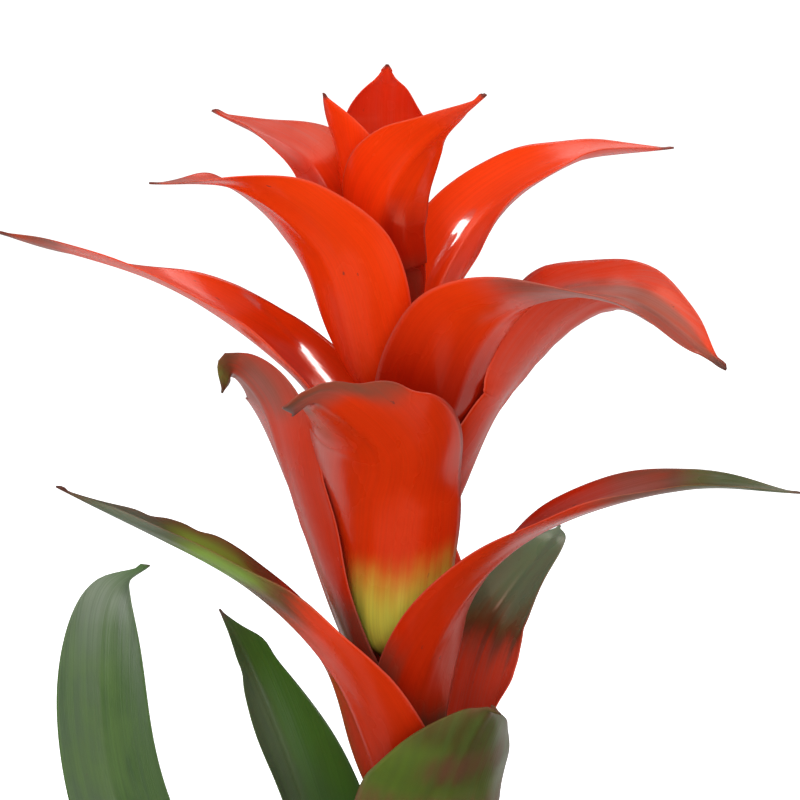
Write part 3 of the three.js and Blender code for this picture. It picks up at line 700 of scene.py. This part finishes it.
class Shading:
    """Short ways to add nodes and join them in one node tree."""

    def __init__(self, tree):
        self.nodes = tree.nodes
        self.links = tree.links

    def add(self, kind, **settings):
        node = self.nodes.new(kind)
        for key, value in settings.items():
            setattr(node, key, value)
        return node

    def feed(self, socket, value):
        if isinstance(value, bpy.types.NodeSocket):
            self.links.new(value, socket)
        else:
            socket.default_value = value

    def math(self, operation, *values, clamp=False):
        node = self.add("ShaderNodeMath", operation=operation, use_clamp=clamp)
        for socket, value in zip(node.inputs, values):
            self.feed(socket, value)
        return node.outputs[0]

    def mix(self, share, first, second, mode="MIX"):
        node = self.add("ShaderNodeMix", data_type="RGBA", blend_type=mode)
        self.feed(node.inputs["Factor"], share)
        self.feed(node.inputs[6], first)
        self.feed(node.inputs[7], second)
        return node.outputs[2]

    def ramp(self, value, low, high, out_low=0.0, out_high=1.0):
        node = self.add("ShaderNodeMapRange", interpolation_type="SMOOTHSTEP")
        for socket, given in zip(node.inputs, (value, low, high, out_low, out_high)):
            self.feed(socket, given)
        return node.outputs[0]

    def attribute(self, name):
        return self.add("ShaderNodeAttribute", attribute_name=name).outputs["Vector"]

    def parts(self, vector):
        node = self.add("ShaderNodeSeparateXYZ")
        self.feed(node.inputs[0], vector)
        return node.outputs[0], node.outputs[1], node.outputs[2]

    def stretched(self, vector, scale):
        node = self.add("ShaderNodeVectorMath", operation="MULTIPLY")
        self.feed(node.inputs[0], vector)
        node.inputs[1].default_value = scale
        return node.outputs[0]

    def noise(self, vector, scale, detail):
        """Noise that changes scale times for each unit along the three axes."""
        node = self.add("ShaderNodeTexNoise", noise_dimensions="3D")
        self.feed(node.inputs["Vector"], self.stretched(vector, scale))
        node.inputs["Scale"].default_value = 1
        node.inputs["Detail"].default_value = detail
        return node.outputs["Fac"]

    def span(self, share, out_low, out_high):
        return self.ramp(share, 0, 1, out_low, out_high)

    def dimmed(self, tone, share):
        return self.mix(1.0, tone, self.grey(share), "MULTIPLY")

    def times(self, first, second):
        return self.math("MULTIPLY", first, second)

    def grey(self, value):
        node = self.add("ShaderNodeCombineColor")
        for socket in node.inputs:
            self.feed(socket, value)
        return node.outputs[0]

    def ragged(self, share, rag, reach):
        """A soft share broken up by noise where it lies between none and all."""
        loose = self.times(rag, self.ramp(share, 0, 0.3, 0, reach))
        return self.math("ADD", share, loose, clamp=True)

    def use(self, group, **values):
        node = self.add("ShaderNodeGroup", node_tree=bpy.data.node_groups[group])
        for label, value in values.items():
            self.feed(node.inputs[label], value)
        return node.outputs


def new_group(name, inputs, outputs):
    """Short ways into a new shader node group with named sockets, and its two ends."""
    group = bpy.data.node_groups.new(name, "ShaderNodeTree")
    for direction, sockets in (("INPUT", inputs), ("OUTPUT", outputs)):
        for kind, labels in sockets.items():
            for label in labels:
                group.interface.new_socket(label, in_out=direction, socket_type="NodeSocket" + kind)
    shading = Shading(group)
    return shading, shading.add("NodeGroupInput").outputs, shading.add("NodeGroupOutput").inputs


def make_long_vein_group():
    """Fine lines that run the length of a blade, and the broader streaks between them."""
    s, given, out = new_group(
        "Long veins", {"Vector": ["Place"]}, {"Float": ["Lines", "Streaks", "Mottle", "Height"]})
    lines = s.noise(given["Place"], GRAIN["lines"], 2)
    streaks = s.noise(given["Place"], GRAIN["streaks"], 3)
    mottle = s.noise(given["Place"], GRAIN["mottle"], 3)
    wax = s.noise(given["Place"], GRAIN["wax"], 3)
    s.feed(out["Lines"], s.ramp(lines, 0.3, 0.7))
    s.feed(out["Streaks"], s.ramp(streaks, 0.3, 0.7))
    s.feed(out["Mottle"], s.ramp(mottle, 0.3, 0.7))
    s.feed(out["Height"], s.math("ADD", lines, s.times(wax, 0.35)))


def make_blemish_group():
    """Small brown scars scattered thinly over a blade."""
    s, given, out = new_group("Blemishes", {"Vector": ["Place"]}, {"Float": ["Mask"]})
    cells = s.add("ShaderNodeTexVoronoi", voronoi_dimensions="3D", feature="F1")
    s.feed(cells.inputs["Vector"], s.stretched(given["Place"], GRAIN["scars"]))
    cells.inputs["Scale"].default_value = 1
    rag = s.noise(given["Place"], GRAIN["scar_edges"], 3)
    reach = s.math("ADD", cells.outputs["Distance"], s.times(rag, 0.18))
    spot = s.ramp(reach, 0.13, 0.17, 1, 0)
    picked = s.noise(given["Place"], GRAIN["scarred"], 1)
    s.feed(out["Mask"], s.times(spot, s.ramp(picked, 0.5, 0.6)))


def make_bract_tone_group():
    """The colour of a bract from its tones: red, bronze, olive green, yellow foot and dark point, with
    painted shade and sheen.
    """
    s, given, out = new_group(
        "Bract tones", {"Vector": [*BLADE_TONES, "Skin"], "Float": BLADE_GRAIN, "Color": BRACT_PAINTS},
        {"Color": ["Color"], "Float": ["Green share"]})
    green, yellow, dark = s.parts(given["Tone"])
    far, warmth_and_light, share = s.parts(given["Side"])
    painted_sheen, brown, lime = s.parts(given["Patch"])
    _, cool, dim = s.parts(given["Skin"])
    rag = s.math("ADD", s.times(given["Streaks"], 0.5), s.times(given["Mottle"], 0.35))
    rag = s.math("SUBTRACT", rag, 0.42)
    # Painted shade and glow: the red is deeper towards the foot of each bract, where its neighbours shade it,
    # and brighter towards its lit top
    warmth_and_light = s.times(warmth_and_light, s.ramp(share, 0.1, 0.55, 0.7, 1))
    lit_warmth = s.math("ADD", warmth_and_light, s.times(rag, 0.12), clamp=True)
    red = s.mix(lit_warmth, given["Deep red"], given["Bright red"])
    red = s.dimmed(red, s.span(given["Lines"], 0.96, 1.02))
    turning = s.ragged(green, rag, 0.3)
    tone = s.mix(s.ramp(turning, 0.1, 0.5), red, given["Bronze"])
    leafy = s.mix(s.span(given["Streaks"], 0, 0.4), given["Green"], given["Bronze"])
    leafy = s.mix(cool, leafy, given["Cool"])
    leafy = s.mix(s.ragged(lime, rag, 0.7), leafy, given["Lime"])
    leafy = s.dimmed(leafy, s.span(dim, 1, 0.5))
    tone = s.mix(s.ramp(turning, 0.4, 0.85), tone, leafy)
    tone = s.mix(s.ragged(brown, rag, 0.6), tone, given["Brown"])
    footing = s.ragged(yellow, rag, 0.28)
    foot = s.mix(s.span(given["Lines"], 0, 0.2), given["Yellow"], given["Green"])
    tone = s.mix(s.ramp(footing, 0.05, 0.95), tone, foot)
    drying = s.ragged(dark, rag, 0.5)
    tone = s.mix(s.times(drying, 0.9), tone, given["Point"])
    # Painted sheen: pale mauve on the red and grey on the green, where light glances off the bract
    sheen_share = s.times(painted_sheen, s.span(given["Lines"], 0.55, 1.0))
    wax = s.mix(s.ramp(turning, 0.5, 0.9), given["Bloom"], given["Frost"])
    tone = s.mix(s.times(sheen_share, s.span(given["Streaks"], 0.7, 1.0)), tone, wax)
    rim = s.times(s.ramp(far, 0.965, 0.99), 0.2)
    edge = s.mix(turning, given["Margin"], given["Bronze"])
    tone = s.mix(s.times(rim, s.ramp(share, 0.9, 1, 1, 0)), tone, edge)
    tone = s.mix(s.times(given["Blemish"], 0.7), tone, given["Point"])
    s.feed(out["Color"], tone)
    s.feed(out["Green share"], turning)


def make_leaf_tone_group():
    """The colour of a leaf: dark and light streaks, a lighter midrib, a dark point, a painted sunlit half and
    a painted grey sheen.
    """
    s, given, out = new_group(
        "Leaf tones", {"Vector": BLADE_TONES, "Float": BLADE_GRAIN, "Color": LEAF_PAINTS},
        {"Color": ["Color"]})
    _, _, dark = s.parts(given["Tone"])
    far, _, _ = s.parts(given["Side"])
    painted_sheen, _, lime = s.parts(given["Patch"])
    tone = s.mix(s.ramp(given["Streaks"], 0.1, 0.9, 0.2, 0.8), given["Dark"], given["Green"])
    tone = s.mix(s.ramp(given["Mottle"], 0.35, 1, 0, 0.35), tone, given["Light"])
    tone = s.mix(s.ramp(far, 0.04, 0.5, 0.25, 0), tone, given["Light"])
    # Lime patches paint sunlight on the lighter half of the upright leaf, and the bright tip of the tall one
    tone = s.mix(s.times(lime, s.span(given["Mottle"], 0.6, 1)), tone, given["Lime"])
    # Painted grey sheen where light glances off the bent end of a leaf
    tone = s.mix(s.times(painted_sheen, s.span(given["Lines"], 0.7, 1)), tone, given["Bloom"])
    tone = s.dimmed(tone, s.span(given["Lines"], 0.94, 1.03))
    tone = s.mix(s.ramp(far, 0.95, 1, 0, 0.35), tone, given["Light"])
    tone = s.mix(s.times(dark, 0.9), tone, given["Point"])
    tone = s.mix(s.times(given["Blemish"], 0.5), tone, given["Point"])
    s.feed(out["Color"], tone)


def new_skin(name, **settings):
    """A Principled material whose sockets that are the same all over are set directly."""
    material = bpy.data.materials.new(name)
    material.use_nodes = True
    shading = Shading(material.node_tree)
    skin = material.node_tree.nodes["Principled BSDF"]
    for label, value in settings.items():
        skin.inputs[label.replace("_", " ")].default_value = value
    return material, shading, skin.inputs


def raise_surface(s, skin, height, distance, strength):
    bump = s.add("ShaderNodeBump")
    s.feed(bump.inputs["Height"], height)
    bump.inputs["Distance"].default_value = distance
    bump.inputs["Strength"].default_value = strength
    s.feed(skin["Normal"], bump.outputs["Normal"])


def blade_inputs(s):
    """What the tone groups take from a blade's points and from the shared effects, and the veins' height."""
    place = s.attribute("blade_place")
    veins = s.use("Long veins", Place=place)
    given = {label: veins[label] for label in ("Lines", "Streaks", "Mottle")}
    given["Blemish"] = s.use("Blemishes", Place=place)["Mask"]
    for label in BLADE_TONES:
        given[label] = s.attribute("blade_" + label.lower())
    return given, veins["Height"]


def make_bract_skin(name, colours, gloss, **settings):
    _, s, skin = new_skin(name, **settings)
    given, height = blade_inputs(s)
    paints = {label: getattr(colours, name) for label, name in BRACT_PAINTS.items()}
    skin_tones = s.attribute("blade_skin")
    made = s.use("Bract tones", Skin=skin_tones, **given, **paints)
    s.feed(skin["Base Color"], made["Color"])
    rough = s.span(given["Mottle"], *gloss)
    painted_sheen, brown, _ = s.parts(given["Patch"])
    shine, _, _ = s.parts(skin_tones)
    gleam = s.math("ADD", shine, s.times(given["Lines"], 0.25))
    s.feed(skin["Coat Weight"], s.ramp(gleam, 0.45, 0.8))
    rough = s.math("ADD", rough, s.times(painted_sheen, 0.14))
    rough = s.math("ADD", rough, s.times(brown, 0.1))
    s.feed(skin["Roughness"], s.math("ADD", rough, s.times(made["Green share"], 0.08)))
    raise_surface(s, skin, height, 0.00012, 0.3)


def make_leaf_skin(name, colours, gloss, **settings):
    _, s, skin = new_skin(name, **settings)
    given, height = blade_inputs(s)
    paints = {label: getattr(colours, name) for label, name in LEAF_PAINTS.items()}
    made = s.use("Leaf tones", **given, **paints)
    s.feed(skin["Base Color"], made["Color"])
    s.feed(skin["Roughness"], s.span(given["Mottle"], *gloss))
    raise_surface(s, skin, height, 0.00018, 0.45)


def tissue_skin(name, base, patched, lined):
    """A skin with patches of a second colour, and fine raised lines of a third."""
    tissue = TISSUES[name]
    material, s, skin = new_skin(name, **tissue["sockets"])
    where = s.add("ShaderNodeTexCoord").outputs["Object"]
    lines, patches = (s.noise(where, *tissue[effect]["grain"]) for effect in ("lines", "patches"))
    tone = s.mix(s.ramp(patches, *tissue["patches"]["shown"]), base, patched)
    s.feed(skin["Base Color"], s.mix(s.ramp(lines, *tissue["lines"]["shown"]), tone, lined))
    raise_surface(s, skin, lines, *tissue["relief"])
    return material


def turned(outline, step, sides):
    """A solid spun about the upright axis from an outline of (radius, height), open poles merged."""
    bm = bmesh.new()
    chain = [bm.verts.new((radius, 0, height)) for radius, height in smooth_outline(outline, step)]
    edges = [bm.edges.new(pair) for pair in zip(chain, chain[1:])]
    bmesh.ops.spin(
        bm, geom=chain + edges, cent=(0, 0, 0), axis=(0, 0, 1), angle=2 * math.pi, steps=sides,
        use_merge=True)
    bmesh.ops.remove_doubles(bm, verts=bm.verts, dist=1e-5)
    bmesh.ops.recalc_face_normals(bm, faces=bm.faces)
    return bm


def smooth_outline(outline, step):
    """Points every few millimetres along an outline."""
    points = [outline[0]]
    for (r0, h0), (r1, h1) in zip(outline, outline[1:]):
        count = max(int(math.hypot(r1 - r0, h1 - h0) / step), 1)
        points.extend(
            (blend(r0, r1, k / count), blend(h0, h1, k / count)) for k in range(1, count + 1))
    return points


def rosette_row(k):
    """Leaf number k of the spiral, written like a row of the bract table."""
    if k + 1 in TALL_LEAVES:
        return TALL_LEAVES[k + 1]
    share = k / (ROSETTE["count"] - 1)
    turn = ROSETTE["first_turn"] + k * ROSETTE["turn_step"]
    resting = k < ROSETTE["resting"]
    mixed = ROSETTE["resting_blend"] * k if resting else share
    path = []
    for i, ((reach, height), (inner_reach, inner_height)) in enumerate(
            zip(ROSETTE["outer"], ROSETTE["inner"])):
        rise = 0 if resting and i == len(ROSETTE["outer"]) - 1 else mixed
        path.append((turn, blend(reach, inner_reach, mixed), blend(height, inner_height, rise)))
    root = blend(ROSETTE["lowest_root"], ROSETTE["highest_root"], share)
    width = blend(ROSETTE["outer_width"], ROSETTE["inner_width"], share)
    row = (width, ROSETTE["widest"], ROSETTE["fullness"], ROSETTE["cup"], (0, 0), (turn, root), path)
    return f"leaf_{k + 1:02d}", row


class GUZMANIA_OT_stage(bpy.types.Operator):
    """Set up the pale floor, the soft lights and the camera"""

    bl_idname = "guzmania.stage"
    bl_label = "Stage"

    def execute(self, context):
        stage = context.scene.guzmania_stage
        bm = bmesh.new()
        bmesh.ops.create_circle(bm, cap_ends=True, radius=stage.floor_radius, segments=96)
        mesh = mesh_from(bm, "floor")
        floor_skin, floor_shading, floor_inputs = new_skin(
            "floor_skin", Base_Color=stage.floor_colour, Roughness=0.9, Specular_IOR_Level=0.1,
            Emission_Color=(1, 1, 1, 1))
        seen = floor_shading.add("ShaderNodeLightPath").outputs["Is Camera Ray"]
        floor_shading.feed(floor_inputs["Emission Strength"], seen)
        link_piece("floor", mesh, [floor_skin])
        context.scene.world = self.room(stage)
        for name, (setting, place, width, height) in LIGHTS.items():
            self.light(name, place, getattr(stage, setting), width, height)
        camera = bpy.data.cameras.new("camera")
        camera.lens = CAMERA["lens"]
        camera.sensor_width = CAMERA["sensor"]
        eye = bpy.data.objects.new("camera", camera)
        eye.location = CAMERA["place"]
        eye.rotation_euler = (math.radians(CAMERA["tilt"]), 0, 0)
        context.scene.collection.objects.link(eye)
        context.scene.camera = eye
        context.scene.view_settings.view_transform = "Standard"
        context.scene.view_settings.look = "None"
        return {"FINISHED"}

    @staticmethod
    def room(stage):
        """An evenly lit room, seen as plain white."""
        world = bpy.data.worlds.new("room")
        world.use_nodes = True
        shading = Shading(world.node_tree)
        seen = shading.add("ShaderNodeLightPath").outputs["Is Camera Ray"]
        background = world.node_tree.nodes["Background"]
        background.inputs["Color"].default_value = (1, 1, 1, 1)
        shading.feed(background.inputs["Strength"], shading.math("MAXIMUM", seen, stage.room))
        return world

    @staticmethod
    def light(name, place, power, width, height):
        data = bpy.data.lights.new(name, "AREA")
        data.shape = "RECTANGLE"
        data.energy = power
        data.size = width
        data.size_y = height
        lamp = bpy.data.objects.new(name, data)
        lamp.location = place
        heading = Vector(LIT_PLACE) - Vector(place)
        lamp.rotation_euler = heading.to_track_quat("-Z", "Y").to_euler()
        lamp.visible_camera = False
        bpy.context.scene.collection.objects.link(lamp)


class GUZMANIA_OT_finishes(bpy.types.Operator):
    """Make the shared effects and the skins of leaves and bracts"""

    bl_idname = "guzmania.finishes"
    bl_label = "Finishes"

    def execute(self, context):
        colours = context.scene.guzmania_colours
        make_long_vein_group()
        make_blemish_group()
        make_bract_tone_group()
        make_leaf_tone_group()
        for name, gloss in (("bract_upper_skin", (0.17, 0.27)), ("bract_under_skin", (0.2, 0.3))):
            make_bract_skin(
                name, colours, gloss, Specular_IOR_Level=0.35, Specular_Tint=(1, 0.4, 0.25, 1),
                Coat_Roughness=0.08, Coat_IOR=2.5, Subsurface_Weight=0.1, Subsurface_Scale=0.002)
        make_leaf_skin("leaf_upper_skin", colours, (0.36, 0.48), Specular_IOR_Level=0.4)
        make_leaf_skin("leaf_under_skin", colours, (0.4, 0.52), Specular_IOR_Level=0.35)
        return {"FINISHED"}


class GUZMANIA_OT_crown(bpy.types.Operator):
    """Build the woody crown with its ringed, fibrous skin"""

    bl_idname = "guzmania.crown"
    bl_label = "Crown"

    def execute(self, context):
        bm = turned(
            [(0, 0), (CROWN["foot"] - HUSK["foot_bevel"], 0), (CROWN["foot"], HUSK["foot_bevel"]),
             (CROWN["belly"], CROWN["belly_height"]), (CROWN["top"], CROWN["height"] - HUSK["top_bevel"]),
             (CROWN["top"] - HUSK["top_bevel"], CROWN["height"]), (0, CROWN["height"])],
            *FINENESS["crown"])
        for vert in bm.verts:
            height = vert.co.z
            if 1 < height < CROWN["height"] - 1:
                angle = math.atan2(vert.co.y, vert.co.x)
                ring = 0.5 + 0.5 * math.cos(2 * math.pi * height / HUSK["ring_step"] + math.sin(3 * angle))
                fibre = 0.5 + 0.5 * math.sin(HUSK["fibres"] * angle + 0.4 * height)
                radius = math.hypot(vert.co.x, vert.co.y)
                vert.co.xy *= 1 - (HUSK["ring_depth"] * ring + HUSK["fibre_depth"] * fibre) / radius
        mesh = in_metres(mesh_from(bm, "crown_husk"), Matrix.Identity(4))
        colours = context.scene.guzmania_colours
        pale = tuple(min(3 * value, 1) for value in colours.husk[:3]) + (1,)
        skin = tissue_skin("crown_husk_skin", colours.husk, pale, colours.dark_point)
        piece = link_piece("crown_husk", mesh, [skin])
        place_on_frame(piece, "crown")
        return {"FINISHED"}


class GUZMANIA_OT_rosette(bpy.types.Operator):
    """Build the rosette's strap leaves"""

    bl_idname = "guzmania.rosette"
    bl_label = "Rosette leaves"

    def execute(self, context):
        sizes = context.scene.guzmania_sizes
        skins = [bpy.data.materials["leaf_upper_skin"], bpy.data.materials["leaf_under_skin"]]
        for k in range(ROSETTE["count"]):
            node, row = rosette_row(k)
            blade = Blade(row, LEAF, crown_radius, sizes.steps_along)
            look = {**PLAIN_LEAF_LOOK, **LEAF_LOOKS.get(k + 1, {})}
            piece = add_blade(
                node + "_blade", blade, look, sizes, ROSETTE["seed"] + k, skins, Matrix.Identity(4))
            place_on_frame(piece, node)
        return {"FINISHED"}


class GUZMANIA_OT_stem(bpy.types.Operator):
    """Build the ribbed flower stem"""

    bl_idname = "guzmania.stem"
    bl_label = "Flower stem"

    def execute(self, context):
        foot = CROWN["height"] + SEAT_GAP + STEM["foot"] * math.tan(math.radians(STEM["lean"]))
        bm = turned(
            [(0, foot), *((stem_radius(height), height) for height in (foot, *STEM["between"])),
             (STEM["tip"], STEM["top"]), (0, STEM["top"])], *FINENESS["stem"])
        for vert in bm.verts:
            if foot + 1 < vert.co.z < STEM["top"] - 1:
                angle = math.atan2(vert.co.y, vert.co.x)
                rib = 0.5 + 0.5 * math.cos(STEM["ribs"] * angle)
                vert.co.xy *= 1 - STEM["rib_depth"] * rib / stem_radius(vert.co.z)
        mesh = in_metres(mesh_from(bm, "flower_stem_core"), spike_lean())
        mesh.shade_smooth()
        colours = context.scene.guzmania_colours
        skin = tissue_skin("flower_stem_skin", colours.stem_green, colours.deep_red, colours.leaf_green)
        piece = link_piece("flower_stem_core", mesh, [skin])
        place_on_frame(piece, "flower_stem")
        return {"FINISHED"}


class GUZMANIA_OT_buds(bpy.types.Operator):
    """Build the small head of flower buds inside the top bracts"""

    bl_idname = "guzmania.buds"
    bl_label = "Flower buds"

    def execute(self, context):
        outline = [(BUDS["radius"] * radius, BUDS["length"] * height) for radius, height in BUD_OUTLINE]
        whole = turned(CUSHION_OUTLINE, *FINENESS["cushion"])
        for k in range(BUDS["count"]):
            lean = 0 if k == 0 else math.radians(BUDS["splay"])
            out = 0 if k == 0 else BUDS["ring"]
            bud = turned(outline, *FINENESS["bud"])
            place = Matrix.Rotation(2 * math.pi * k / BUDS["count"], 4, "Z")
            place = place @ Matrix.Translation((out, 0, 0)) @ Matrix.Rotation(lean, 4, "Y")
            bmesh.ops.transform(bud, matrix=place, verts=bud.verts)
            single = mesh_from(bud, "bud")
            whole.from_mesh(single)
            bpy.data.meshes.remove(single)
        lift = Matrix.Translation((0, 0, STEM["top"] + SEAT_GAP))
        mesh = in_metres(mesh_from(whole, "flower_bud_head"), spike_lean() @ lift)
        mesh.shade_smooth()
        colours = context.scene.guzmania_colours
        skin = tissue_skin(
            "flower_bud_skin", colours.bud_cream, colours.yellow_green, colours.olive_green)
        piece = link_piece("flower_bud_head", mesh, [skin])
        place_on_frame(piece, "flower_buds")
        return {"FINISHED"}


class GUZMANIA_OT_bracts(bpy.types.Operator):
    """Build the bracts of the flower spike"""

    bl_idname = "guzmania.bracts"
    bl_label = "Bracts"

    def execute(self, context):
        sizes = context.scene.guzmania_sizes
        skins = [bpy.data.materials["bract_upper_skin"], bpy.data.materials["bract_under_skin"]]
        for k, (node, row) in enumerate(BRACTS.items()):
            blade = Blade(row, BRACT, stem_radius, sizes.steps_along)
            look = {**PLAIN_LOOK, **BRACT_LOOKS[node]}
            piece = add_blade(node + "_blade", blade, look, sizes, k + 1, skins, spike_lean())
            place_on_frame(piece, node)
        return {"FINISHED"}


class GUZMANIA_PT_plant(bpy.types.Panel):
    """Lists the plant's pieces and its sizes and colours"""

    bl_label = "Guzmania"
    bl_space_type = "VIEW_3D"
    bl_region_type = "UI"
    bl_category = "Guzmania"

    def draw(self, context):
        for operator in OPERATORS:
            self.layout.operator(operator.bl_idname)
        for group in (context.scene.guzmania_sizes, context.scene.guzmania_colours,
                      context.scene.guzmania_stage):
            for name in group.bl_rna.properties.keys():
                if name not in {"rna_type", "name"}:
                    self.layout.prop(group, name)


OPERATORS = (
    GUZMANIA_OT_stage,
    GUZMANIA_OT_finishes,
    GUZMANIA_OT_crown,
    GUZMANIA_OT_rosette,
    GUZMANIA_OT_stem,
    GUZMANIA_OT_buds,
    GUZMANIA_OT_bracts,
)
CLASSES = (GuzmaniaSizes, GuzmaniaColours, GuzmaniaStage, *OPERATORS, GUZMANIA_PT_plant)


def register():
    for item in CLASSES:
        bpy.utils.register_class(item)
    bpy.types.Scene.guzmania_sizes = PointerProperty(type=GuzmaniaSizes)
    bpy.types.Scene.guzmania_colours = PointerProperty(type=GuzmaniaColours)
    bpy.types.Scene.guzmania_stage = PointerProperty(type=GuzmaniaStage)


def unregister():
    del bpy.types.Scene.guzmania_stage
    del bpy.types.Scene.guzmania_colours
    del bpy.types.Scene.guzmania_sizes
    for item in reversed(CLASSES):
        bpy.utils.unregister_class(item)


def main():
    register()
    bpy.ops.guzmania.stage()
    bpy.ops.guzmania.finishes()
    bpy.ops.guzmania.crown()
    bpy.ops.guzmania.rosette()
    bpy.ops.guzmania.stem()
    bpy.ops.guzmania.buds()
    bpy.ops.guzmania.bracts()


if __name__ == "__main__":
    main()
